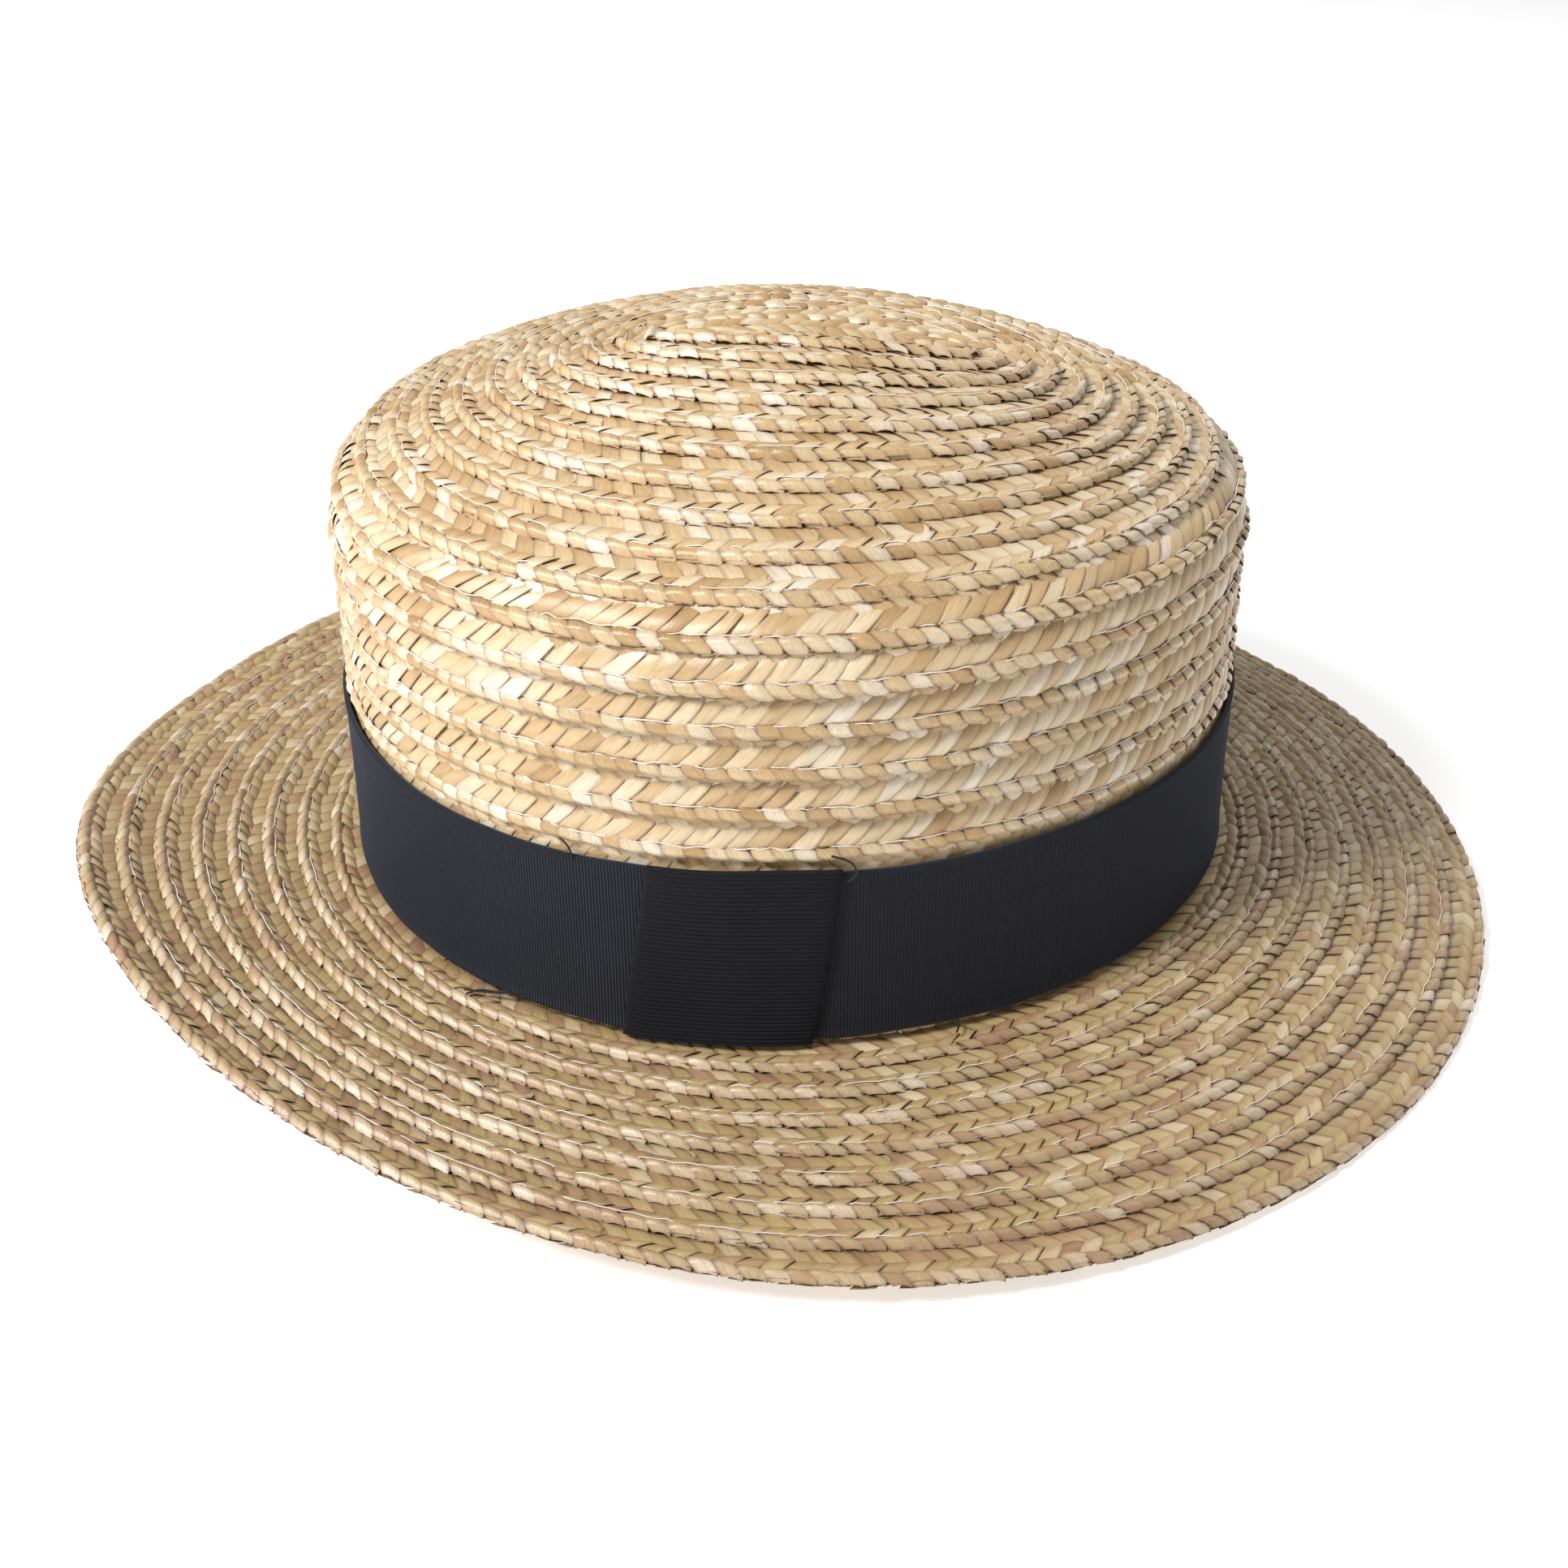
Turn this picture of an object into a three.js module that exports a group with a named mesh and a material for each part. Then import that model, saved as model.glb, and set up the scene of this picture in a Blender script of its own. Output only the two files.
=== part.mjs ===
// A stiff straw boater: an oval crown with a rounded shoulder and a low domed tip, a wavy brim,
// a ribbon round the crown and a flat tab across the ribbon's join.
// Millimetres, +Z up. -X is the wearer's front and -Y the wearer's left, the side with the tab.
// Every piece is drawn upright round the crown's axis, and the whole hat then leans over until
// it stands on the three low places of its brim.
import * as THREE from 'three';

// ---- Driving dimensions ----

const AROUND = 72; // facets round each oval
const FIT_GAP = 0.3; // clearance that touching pieces keep

const STRAW = { wall: 2, colour: 0xd8b981, roughness: 0.55 };
const RIBBON_CLOTH = { wall: 1, colour: 0x1d1e26, roughness: 0.9 };

// The crown's outside where it meets the brim, and the brim's edge seen from above. `pinch` draws
// an oval in between its ends and sides, and `frontFullness` makes it wider towards -X.
const HEAD_OVAL = { halfLength: 97, halfWidth: 87, pinch: 0, frontFullness: 0.055 };
const BRIM_OVAL = { halfLength: 157.7, halfWidth: 143.3, pinch: 0.018, frontFullness: 0 };

const CROWN = { sideHeight: 75.7, draw: 4.1, shoulderRadius: 16.5, domeRise: 18.5 };
const RIBBON = { bottom: 1, top: 39 };
const TAB = { bottom: 0.8, top: 39.6, width: 36, bearing: -91.1, slant: -3.3 };

// How the hat stands: the height of the crown's foot and the way that its axis leans.
const STAND = { height: 9.1, leanToFront: 2.75, leanToLeft: 1.2 };

// The brim's edge rises and falls between these bearings, from +X towards +Y, in degrees.
const BRIM_WAVE = [
  { bearing: -144, lift: 13.5 },
  { bearing: -29, lift: 0 },
  { bearing: 26, lift: 4.2 },
  { bearing: 85, lift: 0 },
  { bearing: 129, lift: 2.7 },
  { bearing: 164, lift: 0 },
];
const BRIM_CURL = 1.8; // how late the brim's rise comes between the crown and the edge

// ---- Shared shapes ----

const DEGREE = Math.PI / 180;
const bearings = Array.from({ length: AROUND }, (_, i) => (2 * Math.PI * i) / AROUND);

// The point of an oval at a bearing, `outset` outside it and shrunk towards the axis by `scale`.
function ovalPoint(oval, bearing, z, outset = 0, scale = 1) {
  const reach = (1 - oval.pinch * Math.sin(2 * bearing) ** 2) * scale;
  const x = (oval.halfLength + outset) * Math.cos(bearing) * reach;
  const y = (oval.halfWidth + outset) * Math.sin(bearing) * reach;
  return new THREE.Vector3(x, y * (1 - oval.frontFullness * Math.cos(bearing)), z);
}

const ring = (point) => bearings.map(point);

// Joins rings of points into one closed body. The rings loop round a tube of wall, or run
// between two poles where `poles` gives the points that close the first and last ring.
function skin(rings, poles = null) {
  const across = rings[0].length;
  const points = rings.flat();
  const triangles = [];
  const strips = poles ? rings.length - 1 : rings.length;
  for (let r = 0; r < strips; r++) {
    const from = r * across;
    const to = ((r + 1) % rings.length) * across;
    for (let i = 0; i < across; i++) {
      const j = (i + 1) % across;
      triangles.push(from + i, from + j, to + j, from + i, to + j, to + i);
    }
  }
  if (poles) {
    const first = points.push(poles[0]) - 1;
    const last = points.push(poles[1]) - 1;
    const end = (rings.length - 1) * across;
    for (let i = 0; i < across; i++) {
      const j = (i + 1) % across;
      triangles.push(first, j, i, last, end + i, end + j);
    }
  }
  const geometry = new THREE.BufferGeometry().setFromPoints(points);
  geometry.setIndex(triangles);
  geometry.computeVertexNormals();
  return geometry;
}

function piece(name, geometry, { colour, roughness }) {
  const material = new THREE.MeshStandardMaterial({ color: colour, roughness, metalness: 0 });
  const mesh = new THREE.Mesh(geometry, material);
  mesh.name = name;
  return mesh;
}

// ---- Crown ----

// The crown's side draws in towards the tip: its outset from the head oval at a height.
const sideOutset = (z) => (-CROWN.draw * z) / CROWN.sideHeight;

// The angle at which the shoulder's arc runs smoothly into the domed tip.
const shoulderEnd = (() => {
  let angle = 1;
  for (let step = 0; step < 20; step++) {
    const tip = HEAD_OVAL.halfWidth - CROWN.draw - CROWN.shoulderRadius * (1 - Math.cos(angle));
    angle = Math.PI / 2 - Math.atan((2 * CROWN.domeRise) / tip);
  }
  return angle;
})();

// The rings of one face of the crown, `inset` inside its outside, from the foot to the tip.
function crownFace(inset, foot) {
  const radius = CROWN.shoulderRadius - inset;
  const rings = [foot, 0, 0.25, 0.5, 0.75, 1].map((t) => {
    const z = t === foot ? foot : t * CROWN.sideHeight;
    return ring((b) => ovalPoint(HEAD_OVAL, b, z, sideOutset(z) - inset));
  });
  const shoulderSteps = 5;
  for (let i = 1; i <= shoulderSteps; i++) {
    const angle = (shoulderEnd * i) / shoulderSteps;
    const outset = -CROWN.draw - inset - radius * (1 - Math.cos(angle));
    const z = CROWN.sideHeight + radius * Math.sin(angle);
    rings.push(ring((b) => ovalPoint(HEAD_OVAL, b, z, outset)));
  }
  const rim = -CROWN.draw - inset - radius * (1 - Math.cos(shoulderEnd));
  const rimHeight = CROWN.sideHeight + radius * Math.sin(shoulderEnd);
  const dome = (scale) => rimHeight + CROWN.domeRise * (1 - scale ** 2);
  for (const scale of [0.8, 0.6, 0.4, 0.2]) {
    rings.push(ring((b) => ovalPoint(HEAD_OVAL, b, dome(scale), rim, scale)));
  }
  return { rings, pole: new THREE.Vector3(0, 0, dome(0)) };
}

function crown() {
  const outside = crownFace(0, -STRAW.wall);
  const inside = crownFace(STRAW.wall, -STRAW.wall);
  const rings = [...inside.rings.reverse(), ...outside.rings];
  return piece('crown', skin(rings, [inside.pole, outside.pole]), STRAW);
}

// ---- Brim ----

const restTurn = new THREE.Euler(STAND.leanToLeft * DEGREE, -STAND.leanToFront * DEGREE, 0);
const floorUp = new THREE.Vector3(0, 0, 1).transformDirection(
  new THREE.Matrix4().makeRotationFromEuler(restTurn).invert(),
);

// The floor under a point, seen in the upright crown's own axes.
const floorAt = ({ x, y }) => -STAND.height - (x * floorUp.x + y * floorUp.y) / floorUp.z;

// The lift of the brim's edge above the floor at a bearing, eased between the wave's rows.
function edgeLift(bearing) {
  const turned = (degrees) => ((degrees % 360) + 360) % 360;
  const degrees = bearing / DEGREE;
  const rows = BRIM_WAVE.map((row, i) => {
    const next = BRIM_WAVE[(i + 1) % BRIM_WAVE.length];
    const span = turned(next.bearing - row.bearing);
    return { row, next, along: turned(degrees - row.bearing) / span };
  });
  const { row, next, along } = rows.find(({ along: t }) => t < 1);
  return row.lift + ((next.lift - row.lift) * (1 - Math.cos(Math.PI * along))) / 2;
}

// The brim's top, from the crown (out = 0) to its edge (out = 1).
function brimPoint(bearing, out, below = 0) {
  const inner = ovalPoint(HEAD_OVAL, bearing, 0, FIT_GAP);
  const edge = ovalPoint(BRIM_OVAL, bearing, 0);
  edge.z = floorAt(edge) + edgeLift(bearing) + STRAW.wall;
  const point = inner.clone().lerp(edge, out);
  point.z = edge.z * out ** BRIM_CURL - below;
  return point;
}

function brim() {
  const steps = [0, 0.2, 0.4, 0.6, 0.8, 1];
  const top = steps.map((out) => ring((b) => brimPoint(b, out)));
  const underside = steps.map((out) => ring((b) => brimPoint(b, out, STRAW.wall)));
  return piece('brim', skin([...underside, ...top.reverse()]), STRAW);
}

// ---- Ribbon and tab ----

function hatBand() {
  const wall = (z, outset) => ring((b) => ovalPoint(HEAD_OVAL, b, z, sideOutset(z) + outset));
  const near = FIT_GAP;
  const far = FIT_GAP + RIBBON_CLOTH.wall;
  const middle = (RIBBON.bottom + RIBBON.top) / 2;
  const rings = [
    ...[RIBBON.bottom, middle, RIBBON.top].map((z) => wall(z, far)),
    ...[RIBBON.top, middle, RIBBON.bottom].map((z) => wall(z, near)),
  ];
  return piece('hat_band', skin(rings), RIBBON_CLOTH);
}

// A flat rectangle of the same ribbon laid over the band and leaning a little.
function bandTab() {
  const near = FIT_GAP + RIBBON_CLOTH.wall + FIT_GAP;
  const half = TAB.width / 2 / HEAD_OVAL.halfLength;
  const columns = 8;
  const rows = 4;
  const sheet = (outset) => {
    const lines = [];
    for (let r = 0; r <= rows; r++) {
      const up = r / rows;
      const z = TAB.bottom + (TAB.top - TAB.bottom) * up;
      const centre = (TAB.bearing + TAB.slant * (0.5 - up)) * DEGREE;
      const line = [];
      for (let c = 0; c <= columns; c++) {
        const bearing = centre + half * ((2 * c) / columns - 1);
        line.push(ovalPoint(HEAD_OVAL, bearing, z, sideOutset(z) + outset));
      }
      lines.push(line);
    }
    return lines;
  };
  const back = sheet(near);
  const front = sheet(near + RIBBON_CLOTH.wall);
  // Each ring runs along the front at one height and returns along the back.
  const rings = front.map((line, r) => [...line, ...back[r].slice().reverse()]);
  return piece('band_tab', stack(rings), RIBBON_CLOTH);
}

// Joins stacked outlines with walls, and closes the lowest and highest with flat ends.
// Each outline runs out along one side and back along the other.
function stack(outlines) {
  const across = outlines[0].length;
  const triangles = [];
  for (let r = 0; r + 1 < outlines.length; r++) {
    for (let i = 0; i < across; i++) {
      const j = (i + 1) % across;
      const [a, b, c, d] = [r * across + i, r * across + j, (r + 1) * across + j, (r + 1) * across + i];
      triangles.push(a, b, c, a, c, d);
    }
  }
  const top = (outlines.length - 1) * across;
  for (let i = 0; i + 1 < across / 2; i++) {
    const [a, b, c, d] = [i, i + 1, across - 2 - i, across - 1 - i];
    triangles.push(a, c, b, a, d, c);
    triangles.push(top + a, top + b, top + c, top + a, top + c, top + d);
  }
  const geometry = new THREE.BufferGeometry().setFromPoints(outlines.flat());
  geometry.setIndex(triangles);
  geometry.computeVertexNormals();
  return geometry;
}

// ---- The hat ----

const hat = new THREE.Group();
hat.add(crown(), brim(), hatBand(), bandTab());
hat.rotation.copy(restTurn);
hat.updateMatrixWorld(true);

// The lowest point of the brim comes down to z = 0, and the hat is centred over the origin.
const extent = new THREE.Box3().setFromObject(hat, true);
const middle = extent.getCenter(new THREE.Vector3());
hat.position.set(-middle.x, -middle.y, -extent.min.z);

export default hat;
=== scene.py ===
# %% [markdown]
# # A straw boater
# The hat is sewn from one long flat plait of split straw, wound round and round so that each
# row laps over the next one out. A ribbon runs round the crown, and a flat tab hides its join.
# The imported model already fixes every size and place, so this script only makes the looks.

import math

import bmesh
import bpy
import numpy as np
from mathutils import Matrix, Vector


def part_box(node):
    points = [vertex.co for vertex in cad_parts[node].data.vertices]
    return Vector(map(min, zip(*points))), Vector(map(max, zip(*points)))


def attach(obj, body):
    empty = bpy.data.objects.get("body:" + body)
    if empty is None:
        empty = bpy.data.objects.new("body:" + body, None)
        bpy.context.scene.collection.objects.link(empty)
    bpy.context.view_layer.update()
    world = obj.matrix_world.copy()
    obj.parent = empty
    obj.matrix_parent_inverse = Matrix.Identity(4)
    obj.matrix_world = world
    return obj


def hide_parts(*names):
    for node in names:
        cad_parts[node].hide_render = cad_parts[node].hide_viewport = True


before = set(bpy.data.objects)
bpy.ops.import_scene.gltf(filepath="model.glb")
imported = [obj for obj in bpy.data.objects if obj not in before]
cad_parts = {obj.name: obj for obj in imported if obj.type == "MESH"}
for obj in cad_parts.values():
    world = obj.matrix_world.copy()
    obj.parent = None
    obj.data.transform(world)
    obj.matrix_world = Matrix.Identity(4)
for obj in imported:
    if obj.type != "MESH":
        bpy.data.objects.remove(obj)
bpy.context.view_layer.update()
MM = 0.001

# %% [markdown]
# The hat is drawn upright round the crown's own axis and then leans as it stands on its brim.
# These are the driving sizes of that upright shape, in millimetres, and the same lean.

# %% Driving sizes
HEAD_OVAL = {"half_length": 97, "half_width": 87, "pinch": 0, "front_fullness": 0.055}
BRIM_OVAL = {"half_length": 157.7, "half_width": 143.3, "pinch": 0.018, "front_fullness": 0}
CROWN = {"side_height": 75.7, "draw": 4.1, "shoulder_radius": 16.5, "dome_rise": 18.5}
STAND = {"height": 9.1, "lean_to_front": math.radians(2.75), "lean_to_left": math.radians(1.2)}
BRIM_WAVE = [  # bearing in degrees from +X towards +Y, lift of the edge off the floor
    {"bearing": -144, "lift": 13.5},
    {"bearing": -29, "lift": 0},
    {"bearing": 26, "lift": 4.2},
    {"bearing": 85, "lift": 0},
    {"bearing": 129, "lift": 2.7},
    {"bearing": 164, "lift": 0},
]
BRIM_CURL = 1.8
WALL = 2
RIBBON = {"bottom": 1, "top": 39, "gap": 0.3, "thickness": 0.7}
TAB = {"bottom": 0.6, "top": 39.9, "width": 36, "bearing": -91.1, "slant": -3.3}

# %% [markdown]
# Rows of plait are numbered outwards from the middle of the tip, and a `lane` is a place between
# them: lane 3.5 is half way across the fourth row. One function turns a lane and a bearing into
# a point of the hat, so the plait, its stitches and its lining side all follow one shape.

# %% The hat's shape as a function
TIP_ROWS = 9.6
SIDE_ROWS = 11.35
BRIM_ROWS = 8.05
TIP_END, SIDE_END, ROWS = 10, 21, 29  # the rows of tip, side and brim end before these numbers
TIP_START = {"centre": 5.5, "half_length": 27}  # the straight middle of the innermost row


def oval(shape, bearing, outset=0.0):
    """Points of an oval, outset millimetres outside it."""
    reach = 1 - shape["pinch"] * np.sin(2 * bearing) ** 2
    x = (shape["half_length"] + outset) * np.cos(bearing) * reach
    y = (shape["half_width"] + outset) * np.sin(bearing) * reach
    return x, y * (1 - shape["front_fullness"] * np.cos(bearing))


def shoulder_end():
    """The angle at which the shoulder's arc runs smoothly into the domed tip."""
    angle = 1.0
    for _ in range(20):
        tip = HEAD_OVAL["half_width"] - CROWN["draw"] - CROWN["shoulder_radius"] * (1 - math.cos(angle))
        angle = math.pi / 2 - math.atan(2 * CROWN["dome_rise"] / tip)
    return angle


SHOULDER_END = shoulder_end()
RIM_OUTSET = -CROWN["draw"] - CROWN["shoulder_radius"] * (1 - math.cos(SHOULDER_END))
RIM_HEIGHT = CROWN["side_height"] + CROWN["shoulder_radius"] * math.sin(SHOULDER_END)


def tip_point(part, bearing):
    """The domed tip: part is 0 along the innermost row's middle and 1 at the rim."""
    rim_x, rim_y = oval(HEAD_OVAL, bearing, RIM_OUTSET)
    start_x = TIP_START["centre"] + TIP_START["half_length"] * np.cos(bearing)
    x = start_x + (rim_x - start_x) * part
    y = rim_y * part
    length = HEAD_OVAL["half_length"] + RIM_OUTSET
    width = HEAD_OVAL["half_width"] + RIM_OUTSET
    spread = 1 - HEAD_OVAL["front_fullness"] * x / length
    out = (x / length) ** 2 + (y / width / spread) ** 2
    return x, y, RIM_HEIGHT + CROWN["dome_rise"] * (1 - out)


def side_point(part, bearing):
    """The shoulder and side: part is 0 at the tip's rim and 1 at the crown's foot."""
    arc = CROWN["shoulder_radius"] * SHOULDER_END
    path = part * (arc + CROWN["side_height"])
    angle = np.clip(SHOULDER_END - path / CROWN["shoulder_radius"], 0, None)
    down = np.clip(path - arc, 0, None)
    height = CROWN["side_height"] - down
    round_in = CROWN["shoulder_radius"] * (1 - np.cos(angle))
    outset = -CROWN["draw"] * height / CROWN["side_height"] - round_in
    x, y = oval(HEAD_OVAL, bearing, outset)
    return x, y, height + CROWN["shoulder_radius"] * np.sin(angle)


LEAN = Matrix.Rotation(STAND["lean_to_left"], 3, "X") @ Matrix.Rotation(-STAND["lean_to_front"], 3, "Y")
FLOOR_UP = LEAN.transposed() @ Vector((0, 0, 1))


def edge_lift(bearing):
    """The lift of the brim's edge at each bearing, eased between the wave's rows."""
    degrees = np.degrees(bearing)
    lift = np.zeros_like(degrees)
    for row, after in zip(BRIM_WAVE, BRIM_WAVE[1:] + BRIM_WAVE[:1]):
        span = (after["bearing"] - row["bearing"]) % 360
        along = ((degrees - row["bearing"]) % 360) / span
        eased = row["lift"] + (after["lift"] - row["lift"]) * (1 - np.cos(np.pi * along)) / 2
        lift = np.where(along < 1, eased, lift)
    return lift


def brim_point(part, bearing):
    """The brim's top: part is 0 at the crown and 1 at the edge."""
    inner_x, inner_y = oval(HEAD_OVAL, bearing)
    edge_x, edge_y = oval(BRIM_OVAL, bearing)
    floor = -STAND["height"] - (edge_x * FLOOR_UP.x + edge_y * FLOOR_UP.y) / FLOOR_UP.z
    edge_z = floor + edge_lift(bearing) + WALL
    part = np.clip(part, 0, None)
    x = inner_x + (edge_x - inner_x) * part
    y = inner_y + (edge_y - inner_y) * part
    return x, y, edge_z * part**BRIM_CURL


def hat_point(lane, bearing):
    """Points of the upright hat's outside, in millimetres, as an array of x, y, z rows."""
    bearing = np.asarray(bearing, float)
    lane = np.broadcast_to(np.asarray(lane, float), bearing.shape)
    tip = tip_point(np.clip(lane / TIP_ROWS, 0.0, 1), bearing)
    side = side_point(np.clip((lane - TIP_ROWS) / SIDE_ROWS, 0, 1), bearing)
    brim = brim_point((lane - TIP_ROWS - SIDE_ROWS) / BRIM_ROWS, bearing)
    zone = (lane > TIP_ROWS).astype(int) + (lane > TIP_ROWS + SIDE_ROWS)
    return np.stack([np.choose(zone, parts) for parts in zip(tip, side, brim)], axis=-1)


def shift_to_frame():
    """How far the leaning hat moves so that it sits where the frame's brim does."""
    bearing = np.linspace(0, 2 * np.pi, 72, endpoint=False)
    edge = hat_point(ROWS, bearing)
    leaning = np.concatenate([edge, edge - [0, 0, WALL]]) @ np.array(LEAN).T * MM
    return np.array(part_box("brim")[0]) - leaning.min(axis=0)


SHIFT = shift_to_frame()


def place(points):
    """Upright points in millimetres, put where the hat stands, in metres."""
    return np.asarray(points) @ np.array(LEAN).T * MM + SHIFT


def turn(vectors):
    """Upright directions in millimetres, turned as the hat leans, in metres."""
    return np.asarray(vectors) @ np.array(LEAN).T * MM


print("shift to the frame", SHIFT.round(4), "rows", ROWS)

# %% [markdown]
# Node trees are easier to read as sums. `Wire` wraps a socket so that + - * / build Math nodes,
# and `Graph.make` adds any other node from its type, its settings and the values of its sockets.
# The same two classes write the shaders and the Geometry Nodes.

# %% Sockets as expressions


class Wire:
    """An output socket that can be used in a sum."""

    def __init__(self, graph, socket):
        self.graph = graph
        self.socket = socket

    def math(self, operation, *values):
        return self.graph.make("ShaderNodeMath", {"operation": operation}, *values)

    def __add__(self, other):
        return self.math("ADD", self, other)

    def __radd__(self, other):
        return self.math("ADD", other, self)

    def __sub__(self, other):
        return self.math("SUBTRACT", self, other)

    def __rsub__(self, other):
        return self.math("SUBTRACT", other, self)

    def __mul__(self, other):
        return self.math("MULTIPLY", self, other)

    def __rmul__(self, other):
        return self.math("MULTIPLY", other, self)

    def __truediv__(self, other):
        return self.math("DIVIDE", self, other)

    def __pow__(self, other):
        return self.math("POWER", self, other)

    def __abs__(self):
        return self.math("ABSOLUTE", self)

    def clamped(self):
        return self.math("MINIMUM", self.math("MAXIMUM", self, 0), 1)


class Graph:
    """A node tree that nodes are added to by calls."""

    def __init__(self, tree):
        self.tree = tree

    def node(self, kind, settings=None, *values, **named):
        """Adds a node. Settings come first, then sockets by position, then sockets by name."""
        made = self.tree.nodes.new(kind)
        for key, value in (settings or {}).items():
            if key == "stops":
                self.stops(made, value)
            else:
                setattr(made, key, value)
        free = [socket for socket in made.inputs if socket.enabled and not socket.is_unavailable]
        for socket, value in zip(free, values):
            self.feed(socket, value)
        for key, value in named.items():
            name = key.replace("_", " ")
            self.feed(next(socket for socket in free if socket.name == name), value)
        return made

    def make(self, kind, settings=None, *values, **named):
        """Adds a node and returns its first output in use."""
        made = self.node(kind, settings, *values, **named)
        used = [socket for socket in made.outputs if socket.enabled and not socket.is_unavailable]
        return Wire(self, used[0])

    def feed(self, socket, value):
        if isinstance(value, Wire):
            self.tree.links.new(value.socket, socket)
        elif value is not None:
            socket.default_value = value

    @staticmethod
    def stops(made, rows):
        """Sets a colour ramp's stops from rows of position and colour."""
        ramp = made.color_ramp
        while len(ramp.elements) > 1:
            ramp.elements.remove(ramp.elements[0])
        for i, (position, colour) in enumerate(rows):
            stop = ramp.elements[0] if i == 0 else ramp.elements.new(position)
            stop.position = position
            stop.color = (*colour, 1)

    def vector(self, operation, *values, **named):
        return self.make("ShaderNodeVectorMath", {"operation": operation}, *values, **named)

    def parts(self, vector):
        split = self.node("ShaderNodeSeparateXYZ", None, vector)
        return [Wire(self, socket) for socket in split.outputs]

    def noise(self, vector, scale, detail=3.0, roughness=0.5):
        return self.make(
            "ShaderNodeTexNoise", None, Vector=vector, Scale=scale, Detail=detail, Roughness=roughness
        )

    def mix(self, factor, first, second, blend="MIX"):
        """Mixes two colours."""
        made = self.tree.nodes.new("ShaderNodeMix")
        made.data_type = "RGBA"
        made.blend_type = blend
        for index, value in ((0, factor), (6, first), (7, second)):
            self.feed(made.inputs[index], value)
        return Wire(self, made.outputs[2])


# %% [markdown]
# ## The plait
# A plait is straws that cross over and under each other, so what the eye sees is a run of small
# slanting facets in a few columns. Modelling each straw from end to end would be slow and would
# hide most of it. Here one little patch is bent, slanted and set on every stitch site by one
# Geometry Nodes tree, once for each column of the plait.

# %% A tree that lays straw facets on stitch sites
FACET_SIZES = ["Inner Edge", "Outer Edge", "Slant", "Width", "Pillow", "Arch", "Dive", "Tilt"]
FACET_SIZES += ["Base", "Slope", "Curl", "Taper"]
EDGE_TURN = 0.86  # the share of the row's width at which a straw starts to fold over the edge
SPREAD = {  # how far one straw may be from the next: factors, shares of a stitch, or millimetres
    "width": (0.94, 1.1),
    "lean": (0.82, 1.18),
    "along": (-0.06, 0.06),
    "across": (-0.025, 0.025),
    "pillow": (0.6, 1.5),
    "outer_end": (-0.15, 0.15),
    "roll": (-0.5, 0.5),
    "pitch": (-0.5, 0.5),
}


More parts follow.
